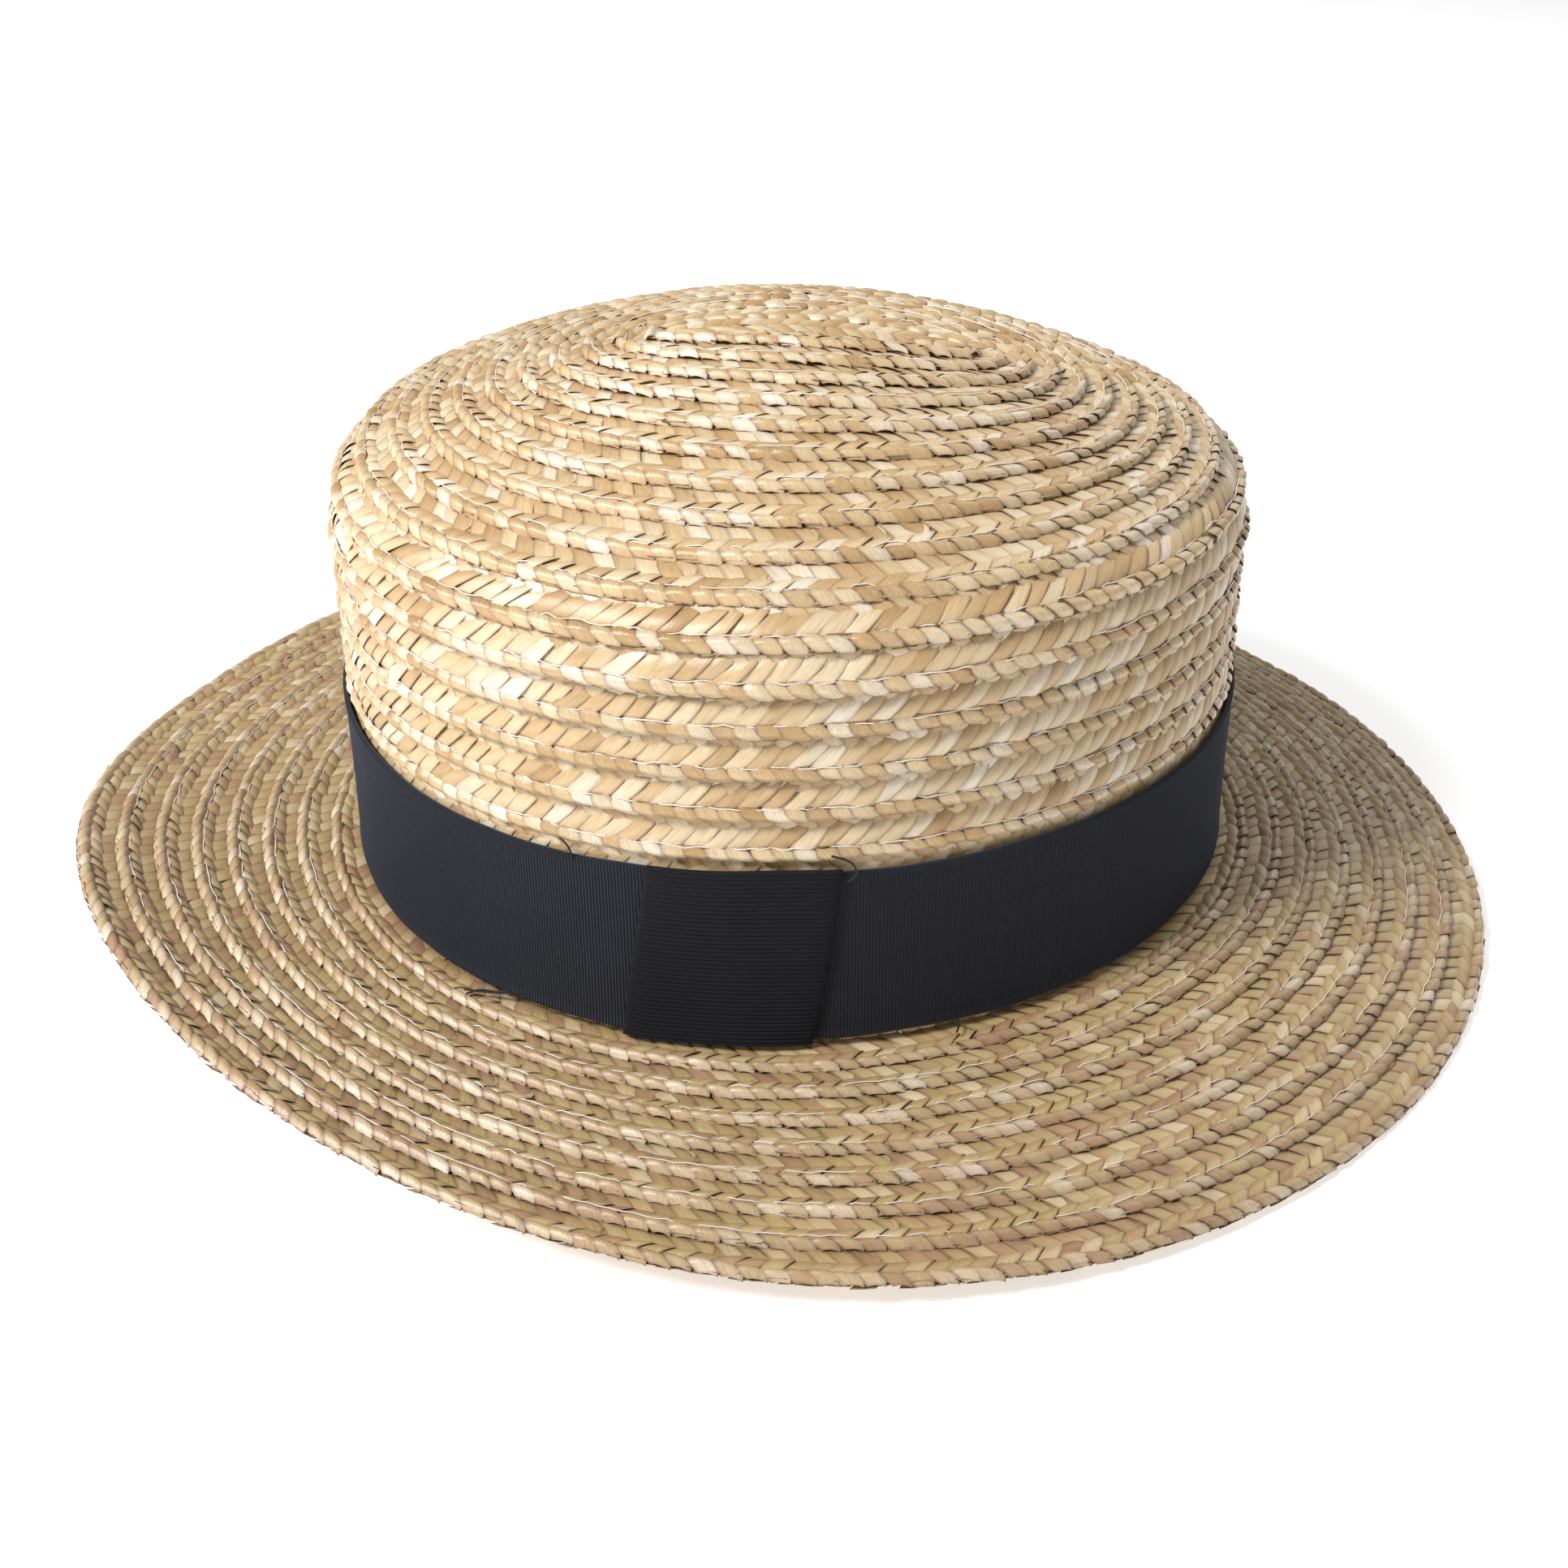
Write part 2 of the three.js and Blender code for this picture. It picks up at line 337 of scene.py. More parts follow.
def facet_tree():
    tree = bpy.data.node_groups.new("straw_facets", "GeometryNodeTree")
    tree.interface.new_socket("Sites", in_out="INPUT", socket_type="NodeSocketGeometry")
    for name in FACET_SIZES:
        tree.interface.new_socket(name, in_out="INPUT", socket_type="NodeSocketFloat")
    for name in ("Points Across", "Points Along", "Seed"):
        tree.interface.new_socket(name, in_out="INPUT", socket_type="NodeSocketInt")
    tree.interface.new_socket("Material", in_out="INPUT", socket_type="NodeSocketMaterial")
    tree.interface.new_socket("Straws", in_out="OUTPUT", socket_type="NodeSocketGeometry")
    graph = Graph(tree)
    given = tree.nodes.new("NodeGroupInput").outputs
    size = {socket.name: Wire(graph, socket) for socket in given if socket.name}

    def named(name, kind="FLOAT_VECTOR"):
        return graph.make("GeometryNodeInputNamedAttribute", {"data_type": kind}, name)

    def random(low, high, seed):
        return graph.make(
            "FunctionNodeRandomValue",
            {"data_type": "FLOAT"},
            Min=low,
            Max=high,
            ID=named("number", "INT"),
            Seed=size["Seed"] * 10 + seed,
        )

    patch = graph.make(
        "GeometryNodeMeshGrid", None, 1.0, 1.0, size["Points Across"], size["Points Along"]
    )
    laid = graph.make("GeometryNodeInstanceOnPoints", None, Points=size["Sites"], Instance=patch)
    straws = graph.make("GeometryNodeRealizeInstances", None, laid)

    # Each patch's own coordinates run from -0.5 to 0.5: a across the straw, b along it.
    site = named("site")
    position = graph.make("GeometryNodeInputPosition")
    a, b, _ = graph.parts(graph.vector("SUBTRACT", position, site))
    share = b + 0.5
    wide = size["Width"] * random(*SPREAD["width"], 1)
    lean = size["Slant"] * random(*SPREAD["lean"], 2)
    narrow = 1 - size["Taper"] * (b * 2) ** 2
    u = a * wide * narrow + lean * b + random(*SPREAD["along"], 3)
    v = size["Inner Edge"] + (size["Outer Edge"] - size["Inner Edge"]) * share
    v = v + random(*SPREAD["across"], 4)
    across_round = 1 - (a * 2) ** 2
    along_round = 1 - (b * 2) ** 2
    over_edge = ((v - EDGE_TURN) / (1 - EDGE_TURN)).clamped()
    h = (
        size["Base"]
        + size["Slope"] * v
        + size["Pillow"] * across_round * random(*SPREAD["pillow"], 5)
        + size["Arch"] * along_round
        - size["Dive"] * (abs(b) * 2) ** 4
        + size["Tilt"] * a * 2
        - size["Curl"] * over_edge * over_edge
        + random(*SPREAD["outer_end"], 6) * share
        + random(*SPREAD["roll"], 7) * a
        + random(*SPREAD["pitch"], 9) * b
    )
    moved = graph.vector("SCALE", named("along"), Scale=u)
    moved = graph.vector("ADD", moved, graph.vector("SCALE", named("across"), Scale=v))
    moved = graph.vector("ADD", moved, graph.vector("SCALE", named("up"), Scale=h))
    moved = graph.vector("ADD", moved, site)
    own = graph.make("ShaderNodeCombineXYZ", None, a, b, random(0, 1, 8))
    straws = graph.make(
        "GeometryNodeStoreNamedAttribute",
        {"data_type": "FLOAT_VECTOR", "domain": "POINT"},
        Geometry=straws,
        Name="straw",
        Value=own,
    )
    straws = graph.make("GeometryNodeSetPosition", None, Geometry=straws, Position=moved)
    straws = graph.make("GeometryNodeSetMaterial", None, Geometry=straws, Material=size["Material"])
    graph.node("NodeGroupOutput", None, straws)
    return tree


FACETS = facet_tree()
print("straw facets tree:", len(FACETS.nodes), "nodes")

# %% [markdown]
# A stitch site is a bare point that knows which way the plait runs, which way is across it and
# which way is out. The sites are shared out evenly round each row, so every row closes cleanly.

# %% Stitch sites
PRESSED = 0.45  # how much of its height the plait keeps under the ribbon
STITCH = 3.9  # length of plait between one straw and the next


def row_sites(row, inside=False, density=1.0):
    """The stitch sites of one closed row, as columns of points and directions."""
    bearing = np.linspace(0, 2 * np.pi, 721)
    middle = hat_point(row + 0.5, bearing)
    walked = np.concatenate([[0], np.cumsum(np.linalg.norm(np.diff(middle, axis=0), axis=1))])
    count = max(8, round(walked[-1] / STITCH * density))
    phase = (row * 0.37) % 1
    at = np.interp((np.arange(count) + phase) / count * walked[-1], walked, bearing)
    small = 1e-3
    inner = hat_point(max(row, 0.02), at)
    outer = hat_point(row + 1, at)
    centre = hat_point(row + 0.5, at)
    ahead = hat_point(row + 0.5, at - small) - hat_point(row + 0.5, at + small)
    ahead *= (walked[-1] / count / np.linalg.norm(ahead, axis=1))[:, None]
    across = outer - inner
    up = np.cross(ahead, across)
    up /= np.linalg.norm(up, axis=1)[:, None]
    # Straw lies pressed flat under the ribbon.
    under_ribbon = (TIP_END <= row < SIDE_END) & (centre[:, 2] < RIBBON["top"] - 1)
    up *= np.where(under_ribbon, PRESSED, 1)[:, None]
    bulge = centre - (inner + outer) / 2
    inner = inner + bulge
    if inside:
        inner = inner - up / np.linalg.norm(up, axis=1)[:, None] * WALL
        ahead, up = -ahead, -up
    return {"site": inner, "along": ahead, "across": across, "up": up}


def sites_object(name, rows, inside=False):
    """A mesh of bare points, one for each stitch of these rows."""
    parts = [row_sites(row, inside) for row in rows]
    table = {key: np.concatenate([part[key] for part in parts]) for key in parts[0]}
    table["site"] = place(table["site"])
    for key in ("along", "across", "up"):
        table[key] = turn(table[key])
    mesh = bpy.data.meshes.new(name)
    mesh.from_pydata(table["site"].tolist(), [], [])
    for key, values in table.items():
        mesh.attributes.new(key, "FLOAT_VECTOR", "POINT").data.foreach_set("vector", values.ravel())
    numbers = np.arange(len(mesh.vertices), dtype=np.int32)
    mesh.attributes.new("number", "INT", "POINT").data.foreach_set("value", numbers)
    made = bpy.data.objects.new(name, mesh)
    bpy.context.scene.collection.objects.link(made)
    return made


def evaluated(made, tree, values):
    """Runs a tree on an object with these inputs and returns the plain mesh that comes out."""
    modifier = made.modifiers.new("shape", "NODES")
    modifier.node_group = tree
    for item in tree.interface.items_tree:
        if item.item_type == "SOCKET" and item.in_out == "INPUT" and item.name in values:
            modifier[item.identifier] = values[item.name]
    bpy.context.view_layer.update()
    ready = made.evaluated_get(bpy.context.evaluated_depsgraph_get())
    mesh = bpy.data.meshes.new_from_object(ready)
    bpy.data.objects.remove(made)
    return mesh


def joined(name, meshes):
    """One object from several meshes."""
    body = bmesh.new()
    materials = []
    for mesh in meshes:
        first = len(materials)
        materials.extend(mesh.materials)
        before = len(body.faces)
        body.from_mesh(mesh)
        body.faces.ensure_lookup_table()
        for face in body.faces[before:]:
            face.material_index += first
    mesh = bpy.data.meshes.new(name)
    body.to_mesh(mesh)
    body.free()
    unique = list(dict.fromkeys(materials))
    for material in unique:
        mesh.materials.append(material)
    index = np.array([unique.index(material) for material in materials] or [0])
    slots = np.zeros(len(mesh.polygons), dtype=np.int32)
    mesh.polygons.foreach_get("material_index", slots)
    mesh.polygons.foreach_set("material_index", index[slots].astype(np.int32))
    mesh.shade_smooth()
    made = bpy.data.objects.new(name, mesh)
    bpy.context.scene.collection.objects.link(made)
    return made


# %% [markdown]
# ## The straw's finish
# Split straw is smooth and glossy, with fine lines along it, and every straw has its own colour:
# pale gold, tan, a little olive or pink-brown. Each patch carries its own coordinates and a
# random number, so one material colours every straw on its own. The edges, where one straw dips
# under the next, are duller and painted darker as shade. Each facet is also painted lighter on its
# highest corner as a highlight, and darker on the opposite corner as shade.

# %% Straw material
STREAKS = [(0.3, (0.72, 0.62, 0.5)), (0.55, (1, 1, 1)), (0.8, (1.12, 1.1, 1.04))]
# The next two tints are the painted shade and the painted highlight that each facet gets from corner to
# corner.
PAINTED_SHADE_TINT = (0.74, 0.7, 0.64)
PAINTED_HIGHLIGHT_TINT = (1.22, 1.24, 1.28)


def straw_material(name, colours, edge_shade_colour, gloss):
    material = bpy.data.materials.new(name)
    material.use_nodes = True
    graph = Graph(material.node_tree)
    surface = material.node_tree.nodes["Principled BSDF"]
    straw = graph.node("ShaderNodeAttribute", {"attribute_name": "straw"}).outputs["Vector"]
    a, b, chance = graph.parts(Wire(graph, straw))
    where = Wire(graph, graph.node("ShaderNodeTexCoord").outputs["Object"])

    # Fine lines run along each straw, and each straw starts them somewhere else.
    lines = graph.make("ShaderNodeCombineXYZ", None, a * 9 + chance * 80, b * 0.9, chance * 50)
    grain = graph.noise(lines, 2.2, 4, 0.65)
    blotch = graph.noise(where, 55, 3, 0.6)
    own = graph.make("ShaderNodeMath", {"operation": "FRACT"}, chance * 7.31)
    tone = (own * 0.75 + blotch * 0.5 - 0.12).clamped()
    base = graph.make("ShaderNodeValToRGB", {"stops": colours}, tone)
    streaks = graph.make("ShaderNodeValToRGB", {"stops": STREAKS}, grain)
    colour = graph.mix(0.75, base, streaks, "MULTIPLY")
    # Each facet is painted lighter on the corner that stands highest, as a highlight, and darker on the
    # opposite corner, as shade.
    wear_and_painted_light = ((b - a) * 0.55 + 0.45).clamped()
    painted_corner_light = graph.mix(wear_and_painted_light, (*PAINTED_SHADE_TINT, 1), (*PAINTED_HIGHLIGHT_TINT, 1))
    colour = graph.mix(1.0, colour, painted_corner_light, "MULTIPLY")
    # Each facet's edges are painted darker, as the shade where one straw dips under the next; the same
    # mask makes them duller.
    rim = (abs(a) * 2) ** 6 + (abs(b) * 2) ** 8 * 0.8
    colour = graph.mix((rim * 0.75).clamped(), colour, (*edge_shade_colour, 1))
    graph.feed(surface.inputs["Base Color"], colour)
    graph.feed(surface.inputs["Roughness"], (gloss + grain * 0.22 + rim * 0.2).clamped())
    bump = graph.make("ShaderNodeBump", None, Strength=0.35, Distance=0.0003, Height=grain)
    graph.feed(surface.inputs["Normal"], bump)
    surface.inputs["Specular IOR Level"].default_value = 0.75
    surface.inputs["Sheen Weight"].default_value = 0.05
    return material


CROWN_COLOURS = [
    (0.0, (0.43, 0.26, 0.10)),
    (0.25, (0.62, 0.43, 0.22)),
    (0.5, (0.70, 0.53, 0.30)),
    (0.75, (0.78, 0.64, 0.43)),
    (1.0, (0.92, 0.86, 0.75)),
]
BRIM_COLOURS = [
    (0.0, (0.34, 0.185, 0.11)),
    (0.25, (0.47, 0.31, 0.16)),
    (0.5, (0.48, 0.36, 0.16)),
    (0.75, (0.56, 0.42, 0.22)),
    (1.0, (0.76, 0.65, 0.47)),
]
BRIM_TEETH_COLOURS = [
    (0.0, (0.38, 0.22, 0.14)),
    (0.25, (0.50, 0.34, 0.19)),
    (0.5, (0.53, 0.40, 0.22)),
    (0.75, (0.62, 0.48, 0.31)),
    (1.0, (0.84, 0.74, 0.60)),
]
# The third value of each straw material is the painted shade colour at the facets' edges.
CROWN_STRAW = [
    straw_material("crown_straw", CROWN_COLOURS, (0.24, 0.12, 0.07), 0.2),
    straw_material("crown_teeth", CROWN_COLOURS, (0.20, 0.09, 0.06), 0.16),
]
BRIM_STRAW = [
    straw_material("brim_straw", BRIM_COLOURS, (0.16, 0.08, 0.05), 0.25),
    straw_material("brim_teeth", BRIM_TEETH_COLOURS, (0.14, 0.06, 0.045), 0.18),
]

# %% [markdown]
# Seen from outside, each row shows three columns of facets: short ones that come out from under
# the row above, long ones slanting the other way, and rounded teeth folded over the outer edge.
# The tip and the brim have their own table, with longer short facets and flatter teeth.
# Heights are in millimetres from the hat's outside, and edges are shares of the row's width.

# %% The columns of the plait
OUTSIDE = [  # the columns of these three tables are named by FACET_SIZES
    # hidden straws that close the gaps between the columns
    (-0.25, 0.98, 0.1, 1.1, 0.1, 0.0, 0.0, 0.0, -1.8, 1.35, 0.3, 0.0),
    # short straws coming out from under the row above
    (-0.25, 0.46, -0.95, 1.05, 0.16, 0.3, 0.25, 0.14, -1.8, 1.25, 0.0, 0.0),
    # long straws slanting the other way
    (0.1, 0.8, 1.3, 1.18, 0.26, 0.42, 0.42, -0.16, -1.62, 1.3, 0.0, 0.12),
    # teeth folded over the outer edge
    (0.66, 1.05, -0.6, 1.16, 0.42, 0.42, 0.34, 0.2, -1.6, 1.75, 1.1, 0.32),
]
OUTSIDE_FLAT = [  # the tip and the brim, where the plait is seen flatter
    (-0.25, 1.0, 0.1, 1.1, 0.1, 0.0, 0.0, 0.0, -1.65, 1.3, 0.35, 0.0),
    (-0.2, 0.52, -1.0, 1.14, 0.18, 0.28, 0.22, 0.14, -1.6, 1.15, 0.0, 0.0),
    (0.34, 0.8, 0.85, 1.2, 0.24, 0.36, 0.3, -0.14, -1.52, 1.2, 0.0, 0.06),
    (0.68, 1.05, -0.6, 1.24, 0.4, 0.36, 0.3, 0.18, -1.5, 1.45, 0.95, 0.3),
]
LINING = [
    (-0.3, 0.56, 0.9, 1.08, 0.18, 0.2, 0.25, 0.12, -0.35, -0.3, 0.0, 0.0),
    (0.5, 1.05, -0.8, 1.06, 0.2, 0.2, 0.3, -0.12, -0.25, -0.35, 0.0, 0.0),
]


BACKING_POINTS = (3, 3)  # the hidden straws need little shape


def plait(name, rows, columns, materials, points, inside=False):
    """The plait of these rows, one side of it, as one object. The last material is the teeth's."""
    meshes = []
    for number, column in enumerate(columns):
        sites = sites_object(f"{name}_sites", rows, inside)
        material = materials[0] if number < len(columns) - 1 else materials[-1]
        values = dict(zip(FACET_SIZES, column), Seed=number + 1 + 10 * int(inside), Material=material)
        backing = number == 0 and not inside
        values["Points Across"], values["Points Along"] = BACKING_POINTS if backing else points
        meshes.append(evaluated(sites, FACETS, values))
    made = joined(name, meshes)
    print(name, sum(len(face.vertices) - 2 for face in made.data.polygons), "triangles")
    return made


TIP = range(0, TIP_END)
SIDE = range(TIP_END, SIDE_END)
BRIM = range(SIDE_END, ROWS)
crown_tip = plait("crown_tip", TIP, OUTSIDE_FLAT, CROWN_STRAW, (5, 5))
crown_side = plait("crown_side", SIDE, OUTSIDE, CROWN_STRAW, (5, 5))
brim_top = plait("brim_top", BRIM, OUTSIDE_FLAT, BRIM_STRAW, (5, 5))
crown_inside = plait("crown_inside", range(0, SIDE_END), LINING, CROWN_STRAW[:1], (3, 4), inside=True)
brim_underside = plait("brim_underside", BRIM, LINING, BRIM_STRAW[:1], (3, 4), inside=True)

# %% [markdown]
# ## The sewing
# One clear thread sews every row to the last. It runs along the row in long stitches just above
# the teeth. A path with a small wave and a thin round section shows it as well as real stitches.

# %% Stitch thread


def thread_tree():
    tree = bpy.data.node_groups.new("thread_along", "GeometryNodeTree")
    tree.interface.new_socket("Path", in_out="INPUT", socket_type="NodeSocketGeometry")
    for name in ("Radius", "Wander"):
        tree.interface.new_socket(name, in_out="INPUT", socket_type="NodeSocketFloat")
    tree.interface.new_socket("Sides", in_out="INPUT", socket_type="NodeSocketInt")
    tree.interface.new_socket("Material", in_out="INPUT", socket_type="NodeSocketMaterial")
    tree.interface.new_socket("Thread", in_out="OUTPUT", socket_type="NodeSocketGeometry")
    graph = Graph(tree)
    given = tree.nodes.new("NodeGroupInput").outputs
    size = {socket.name: Wire(graph, socket) for socket in given if socket.name}
    curve = graph.make("GeometryNodeMeshToCurve", None, size["Path"])
    noise = graph.node("ShaderNodeTexNoise", None, Scale=260.0, Detail=1.0).outputs["Color"]
    wander = graph.vector("SUBTRACT", Wire(graph, noise), (0.5, 0.5, 0.5))
    wander = graph.vector("SCALE", wander, Scale=size["Wander"])
    curve = graph.make("GeometryNodeSetPosition", None, Geometry=curve, Offset=wander)
    section = graph.make("GeometryNodeCurvePrimitiveCircle", None, size["Sides"], Radius=size["Radius"])
    tube = graph.make("GeometryNodeCurveToMesh", None, curve, section, Fill_Caps=True)
    tube = graph.make("GeometryNodeRealizeInstances", None, tube)
    tube = graph.make("GeometryNodeSetMaterial", None, Geometry=tube, Material=size["Material"])
    graph.node("NodeGroupOutput", None, tube)
    return tree


THREAD = thread_tree()


def thread_material(name, colour, roughness):
    material = bpy.data.materials.new(name)
    material.use_nodes = True
    graph = Graph(material.node_tree)
    surface = material.node_tree.nodes["Principled BSDF"]
    where = Wire(graph, graph.node("ShaderNodeTexCoord").outputs["Object"])
    speckle = graph.noise(where, 900, 2, 0.5)
    dark = tuple(channel * 0.75 for channel in colour)
    tint = graph.mix(speckle, (*dark, 1), (*colour, 1))
    graph.feed(surface.inputs["Base Color"], tint)
    surface.inputs["Roughness"].default_value = roughness
    return material


clear_thread = thread_material("clear_thread", (0.93, 0.88, 0.84), 0.3)


def path_mesh(name, paths):
    """A mesh of edges along each path; a path is its points and whether it closes."""
    points = []
    edges = []
    for path, closed in paths:
        first = len(points)
        points.extend(path.tolist())
        edges.extend((first + i, first + i + 1) for i in range(len(path) - 1))
        if closed:
            edges.append((first + len(path) - 1, first))
    mesh = bpy.data.meshes.new(name)
    mesh.from_pydata(points, edges, [])
    made = bpy.data.objects.new(name, mesh)
    bpy.context.scene.collection.objects.link(made)
    return made


SEAM = {"share": 0.68, "height": -0.1, "dips": 0.35, "depth": 0.6, "drift": 0.022}


def stitch_line(row):
    """One row's thread: on top for most of each stitch, dipping into the plait at its end."""
    sites = row_sites(row, density=2.0)
    draw = np.random.default_rng(row)
    count = len(sites["site"])
    dip = np.where(draw.random(count) < SEAM["dips"], -SEAM["depth"], 0.0)[:, None]
    drift = draw.normal(0, SEAM["drift"], count)[:, None]
    height = SEAM["height"] + dip
    path = sites["site"] + sites["across"] * (SEAM["share"] + drift) + sites["up"] * height
    return place(path), True


def sewing(name, rows):
    paths = path_mesh(f"{name}_path", [stitch_line(row) for row in rows])
    values = {"Radius": 0.13 * MM, "Wander": 0.5 * MM, "Sides": 4, "Material": clear_thread}
    return joined(name, [evaluated(paths, THREAD, values)])


ABOVE_RIBBON = range(1, 16)
INSIDE_EDGE = range(SIDE_END + 1, ROWS - 1)
crown_stitches = sewing("crown_stitches", ABOVE_RIBBON)
brim_stitches = sewing("brim_stitches", INSIDE_EDGE)
print("stitches", len(crown_stitches.data.polygons) + len(brim_stitches.data.polygons), "faces")

# %% [markdown]
# ## The ribbon and its tab
# Ribbed ribbon has fine cords across its width, which catch the light as it bends. The ribs are
# real shape here: a wall whose surface waves in and out, once for each cord. On the tab the same
# ribbon is turned, so its ribs lie level.

# %% Ribbon cloth


def ribbon_material(name, colour, sheen):
    material = bpy.data.materials.new(name)
    material.use_nodes = True
    graph = Graph(material.node_tree)
    surface = material.node_tree.nodes["Principled BSDF"]
    where = Wire(graph, graph.node("ShaderNodeTexCoord").outputs["Object"])
    uv = Wire(graph, graph.node("ShaderNodeTexCoord").outputs["UV"])
    u, v, _ = graph.parts(uv)
    weave = graph.noise(graph.make("ShaderNodeCombineXYZ", None, u * 900, v * 900, 0.0), 1.0, 3, 0.6)
    wear_and_painted_light = graph.noise(where, 38, 4, 0.6)
    tone = (weave * 0.6 + wear_and_painted_light * 0.5).clamped()
    light = tuple(channel * 2.1 + 0.004 for channel in colour)
    dark = tuple(channel * 0.6 for channel in colour)
    graph.feed(surface.inputs["Base Color"], graph.mix(tone, (*dark, 1), (*light, 1)))
    graph.feed(surface.inputs["Roughness"], (0.62 + wear_and_painted_light * 0.25).clamped())
    bump = graph.make("ShaderNodeBump", None, Strength=0.5, Distance=0.0002, Height=weave)
    graph.feed(surface.inputs["Normal"], bump)
    surface.inputs["Specular IOR Level"].default_value = 0.2
    surface.inputs["Sheen Weight"].default_value = sheen
    surface.inputs["Sheen Roughness"].default_value = 0.5
    surface.inputs["Sheen Tint"].default_value = (0.55, 0.62, 0.8, 1)
    return material


band_cloth = ribbon_material("band_cloth", (0.0075, 0.0085, 0.0125), 0.2)
tab_cloth = ribbon_material("tab_cloth", (0.005, 0.0053, 0.008), 0.03)
RIB = {"band": 0.62, "tab": 0.95, "depth": 0.24}
BAND_LEVELS = [0, 0.02, 0.06, 0.35, 0.65, 0.94, 0.98, 1]  # shares of the ribbon's width
RIPPLES = [(0.16, 7, 1), (0.12, 17, 0), (0.06, 41, 0)]  # millimetres, waves round the hat, phase
TAB_CLOTH = {"lift": 1.25, "thickness": 0.75, "bow": 0.25, "sway": 0.012, "sag": 0.22, "fold": 0.5}


def side_wall(bearing, height, outset):
    """Points outside the crown's side at each bearing and height, upright and in millimetres."""
    draw = -CROWN["draw"] * height / CROWN["side_height"]
    x, y = oval(HEAD_OVAL, bearing, draw + outset)
    return np.stack(np.broadcast_arrays(x, y, height), axis=-1)


def wall_object(name, outer, inner, closed, material):
    """A closed wall between two grids of points, rows by columns. Faces point outwards."""
    rows, columns, _ = outer.shape
    points = np.concatenate([outer.reshape(-1, 3), inner.reshape(-1, 3)])
    back = rows * columns
    faces = []
    spans = columns if closed else columns - 1

    def at(row, column):
        return row * columns + column % columns

    for row in range(rows - 1):
        for column in range(spans):
            a, b = at(row, column), at(row, column + 1)
            c, d = at(row + 1, column + 1), at(row + 1, column)
            faces.append((a, b, c, d))
            faces.append((back + d, back + c, back + b, back + a))
    for column in range(spans):
        low, low_next = at(0, column), at(0, column + 1)
        high, high_next = at(rows - 1, column), at(rows - 1, column + 1)
        faces.append((low_next, low, back + low, back + low_next))
        faces.append((high, high_next, back + high_next, back + high))
    if not closed:
        for row in range(rows - 1):
            left, left_up = at(row, 0), at(row + 1, 0)
            right, right_up = at(row, columns - 1), at(row + 1, columns - 1)
            faces.append((left, left_up, back + left_up, back + left))
            faces.append((right_up, right, back + right, back + right_up))
    mesh = bpy.data.meshes.new(name)
    mesh.from_pydata(place(points).tolist(), [], faces)
    layer = mesh.uv_layers.new(name="along_the_ribbon")
    around = np.arange(columns) / max(columns - 1, 1)
    up = np.arange(rows) / (rows - 1)
    grid = np.stack(np.meshgrid(around, up), axis=-1).reshape(-1, 2)
    spots = np.concatenate([grid, grid])
    loops = np.zeros(len(mesh.loops), dtype=np.int32)
    mesh.loops.foreach_get("vertex_index", loops)
    layer.data.foreach_set("uv", spots[loops].ravel())
    mesh.materials.append(material)
    mesh.shade_smooth()
    made = bpy.data.objects.new(name, mesh)
    bpy.context.scene.collection.objects.link(made)
    return made


def band():
    """The ribbon round the crown, ribbed across its width, a little slack along its top edge."""
    mean_radius = (HEAD_OVAL["half_length"] + HEAD_OVAL["half_width"] + 1) / 2
    ribs = round(2 * math.pi * mean_radius / RIB["band"])
    columns = ribs * 4
    bearing = np.linspace(0, 2 * np.pi, columns, endpoint=False)
    wave = np.cos(np.arange(columns) * np.pi / 2) * RIB["depth"] / 2
    ripple = sum(size * np.sin(bearing * waves + phase) for size, waves, phase in RIPPLES)
    outer = []
    inner = []
    for level in BAND_LEVELS:
        selvedge = 0.12 if 0.01 < level < 0.03 or 0.97 < level < 0.99 else 0
        height = RIBBON["bottom"] + (RIBBON["top"] - RIBBON["bottom"]) * level + ripple * (2 * level - 1)
        slack = RIBBON["gap"] + 0.25 * abs(2 * level - 1) ** 4 + ripple * 0.5 * level
        outer.append(side_wall(bearing, height, slack + RIBBON["thickness"] + wave + selvedge))
        inner.append(side_wall(bearing, height, slack))
    return wall_object("ribbon", np.array(outer), np.array(inner), True, band_cloth)


def tab():
    """The flat tab: level ribs, its two sides folded under. The stitches that hold it down are not
    drawn.
    """
    rows = 4 * round((TAB["top"] - TAB["bottom"]) / RIB["tab"]) + 1
    shares = np.linspace(-1, 1, 41)
    half = TAB["width"] / 2 / HEAD_OVAL["half_length"]
    outer = []
    inner = []
    for row in range(rows):
        up = row / (rows - 1)
        height = TAB["bottom"] + (TAB["top"] - TAB["bottom"]) * up
        height = height + TAB_CLOTH["bow"] * np.sin(shares * 2.4 + 0.6)
        centre = math.radians(TAB["bearing"] + TAB["slant"] * (0.5 - up))
        bearing = centre + half * shares * (1 + TAB_CLOTH["sway"] * math.sin(up * 5))
        rib = math.cos(row * math.pi / 2) * RIB["depth"] / 2
        sag = TAB_CLOTH["sag"] * np.cos(shares * np.pi / 2) * math.sin(math.pi * up)
        fold = TAB_CLOTH["fold"] * (1 - shares**10) - 0.1
        lift = TAB_CLOTH["lift"] + 0.1 * np.sin(shares * 5 + up * 3)
        outer.append(side_wall(bearing, height, lift + TAB_CLOTH["thickness"] + rib + fold - sag))
        inner.append(side_wall(bearing, height, lift + 0 * bearing))
    return wall_object("ribbon_tab", np.array(outer), np.array(inner), False, tab_cloth)


ribbon = band()
ribbon_tab = tab()
print("ribbon", len(ribbon.data.polygons), "faces, tab", len(ribbon_tab.data.polygons))

# %% [markdown]
# A few ends of black sewing thread stand out from the ribbon: a frayed one under its lower edge
# at the front, a curl at the tab's top corner and a bristle or two. They are short tubes.

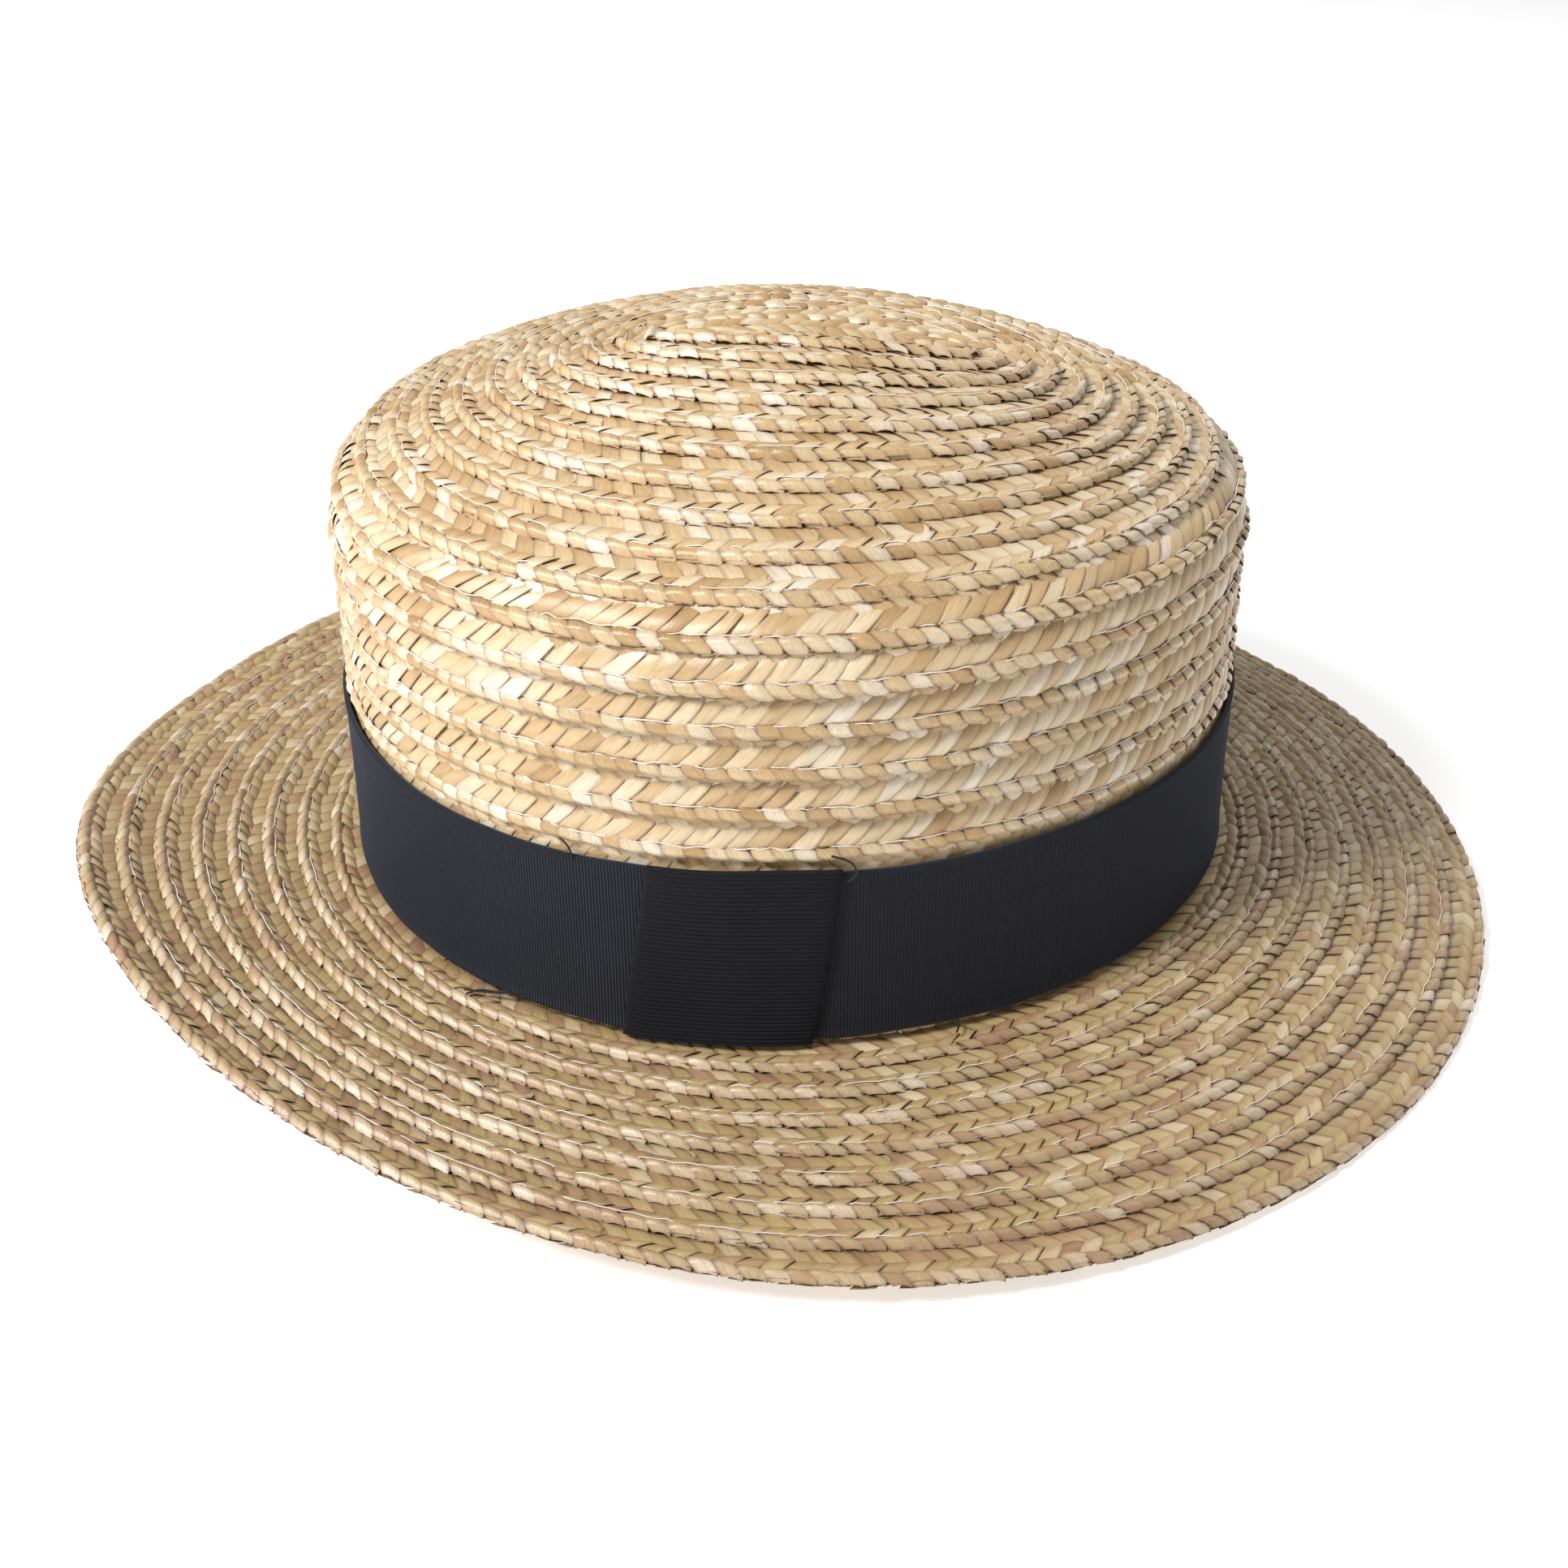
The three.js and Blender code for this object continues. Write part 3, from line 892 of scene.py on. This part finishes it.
# %% Loose thread ends
black_thread = thread_material("black_thread", (0.012, 0.012, 0.016), 0.6)
LOOSE_ENDS = [  # bearing in degrees, height and outset in millimetres, for each bend
    [(-118.6, 1.6, 1.4), (-119.2, 1.3, 2.2), (-121.0, 1.2, 3.6), (-123.2, 1.4, 5.4)],
    [(-118.9, 1.6, 1.4), (-119.8, 1.4, 2.4), (-121.6, 1.5, 3.9), (-122.4, 1.5, 6.2)],
    [(-78.4, 38.0, 2.4), (-77.6, 39.8, 2.8), (-78.2, 42.0, 2.4), (-80.2, 43.4, 2.0)],
    [(-108.6, 38.0, 1.2), (-108.8, 41.0, 1.8), (-110.0, 42.4, 1.4)],
    [(-66.0, 2.2, 1.4), (-65.6, 0.8, 2.4), (-66.4, 1.2, 4.6)],
]


def loose_path(bends):
    bends = np.array(bends)
    spots = np.array([side_wall(math.radians(b), np.float64(h), o) for b, h, o in bends])
    steps = np.linspace(0, len(bends) - 1, 6 * len(bends))
    smooth = []
    for step in steps:
        i = min(int(step), len(bends) - 2)
        t = step - i
        before, start = spots[max(i - 1, 0)], spots[i]
        end, after = spots[i + 1], spots[min(i + 2, len(spots) - 1)]
        curve = 2 * start + (end - before) * t + (2 * before - 5 * start + 4 * end - after) * t**2
        smooth.append((curve + (3 * start - before - 3 * end + after) * t**3) / 2)
    return place(np.array(smooth)), False


loose = path_mesh("loose_path", [loose_path(bends) for bends in LOOSE_ENDS])
loose_values = {"Radius": 0.2 * MM, "Wander": 0.1 * MM, "Sides": 6, "Material": black_thread}
loose_threads = joined("loose_threads", [evaluated(loose, THREAD, loose_values)])

# %% [markdown]
# ## Body and stage
# Every piece rides on the part's one body and says which solid it stands for.

# %% What each piece stands for
PIECES = [
    (crown_tip, "straw_crown", ["crown"]),
    (crown_side, "straw_crown", ["crown"]),
    (crown_inside, "straw_crown", ["crown"]),
    (crown_stitches, "straw_crown", []),
    (brim_top, "straw_brim", ["brim"]),
    (brim_underside, "straw_brim", ["brim"]),
    (brim_stitches, "straw_brim", []),
    (ribbon, "ribbon", ["hat_band"]),
    (ribbon_tab, "ribbon_tab", ["band_tab"]),
    (loose_threads, "ribbon", []),
]
for piece, slot, nodes in PIECES:
    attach(piece, "root")
    if nodes:
        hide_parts(*nodes)
# The ribbon's width is its height on the crown; its length goes once round, and the tab is short.
print(len(PIECES), "pieces declared")

# %% [markdown]
# ## Stage
# The hat stands on a wide white floor in an even white room, with one soft key light up to the
# left and a weak fill behind to the right. The floor glows a little, so that it stays white.

# %% Floor and light
floor_mesh = bpy.data.meshes.new("floor")
floor_mesh.from_pydata([(-4, -4, 0), (4, -4, 0), (4, 4, 0), (-4, 4, 0)], [], [(0, 1, 2, 3)])
floor = bpy.data.objects.new("floor", floor_mesh)
bpy.context.scene.collection.objects.link(floor)
floor_paint = bpy.data.materials.new("floor_paint")
floor_paint.use_nodes = True
floor_surface = floor_paint.node_tree.nodes["Principled BSDF"].inputs
floor_surface["Base Color"].default_value = (0.95, 0.95, 0.95, 1)
floor_surface["Roughness"].default_value = 0.9
floor_surface["Emission Color"].default_value = (1, 1, 1, 1)
floor_surface["Emission Strength"].default_value = 0.45
floor_mesh.materials.append(floor_paint)

world = bpy.data.worlds.new("studio")
bpy.context.scene.world = world
world.use_nodes = True
world.node_tree.nodes["Background"].inputs["Color"].default_value = (1, 1, 1, 1)
world.node_tree.nodes["Background"].inputs["Strength"].default_value = 0.4


def soft_light(name, place_at, target, size, power):
    light = bpy.data.lights.new(name, "AREA")
    light.size = size
    light.energy = power
    made = bpy.data.objects.new(name, light)
    made.location = place_at
    made.rotation_euler = (Vector(target) - Vector(place_at)).to_track_quat("-Z", "Y").to_euler()
    bpy.context.scene.collection.objects.link(made)


soft_light("key", (-0.75, -0.5, 0.95), (0, 0, 0.05), 0.32, 17.5)
soft_light("fill", (0.7, 0.9, 0.8), (0, 0, 0.05), 0.6, 2.5)
bpy.context.scene.view_settings.view_transform = "Standard"

# %% [markdown]
# The camera's place is set round the upright hat, by its turn, height and distance, and then
# leans with the hat.

# %% Camera
CAMERA = {"azimuth": 6.14, "elevation": 34.68, "roll": -0.34, "distance": 386, "lens": 37.85}
LOOK_AT = (-1.0, 0, -0.6)


def add_camera():
    """The camera, set round the upright hat and then turned with its lean."""
    azimuth = math.radians(CAMERA["azimuth"])
    elevation = math.radians(CAMERA["elevation"])
    back = Vector(
        (
            math.sin(azimuth) * math.cos(elevation),
            -math.cos(azimuth) * math.cos(elevation),
            math.sin(elevation),
        )
    )
    right = (-back).cross(Vector((0, 0, 1))).normalized()
    rolled = Matrix.Rotation(-math.radians(CAMERA["roll"]), 3, -back) @ right
    above = rolled.cross(-back)
    turned = LEAN @ Matrix((rolled, above, back)).transposed()
    at = place([np.array(LOOK_AT) + np.array(back) * CAMERA["distance"]])[0]
    data = bpy.data.cameras.new("camera")
    data.lens = CAMERA["lens"]
    data.sensor_width = 36
    data.clip_start = 0.01
    made = bpy.data.objects.new("camera", data)
    made.matrix_world = Matrix.Translation(Vector(at)) @ turned.to_4x4()
    bpy.context.scene.collection.objects.link(made)
    bpy.context.scene.camera = made


add_camera()
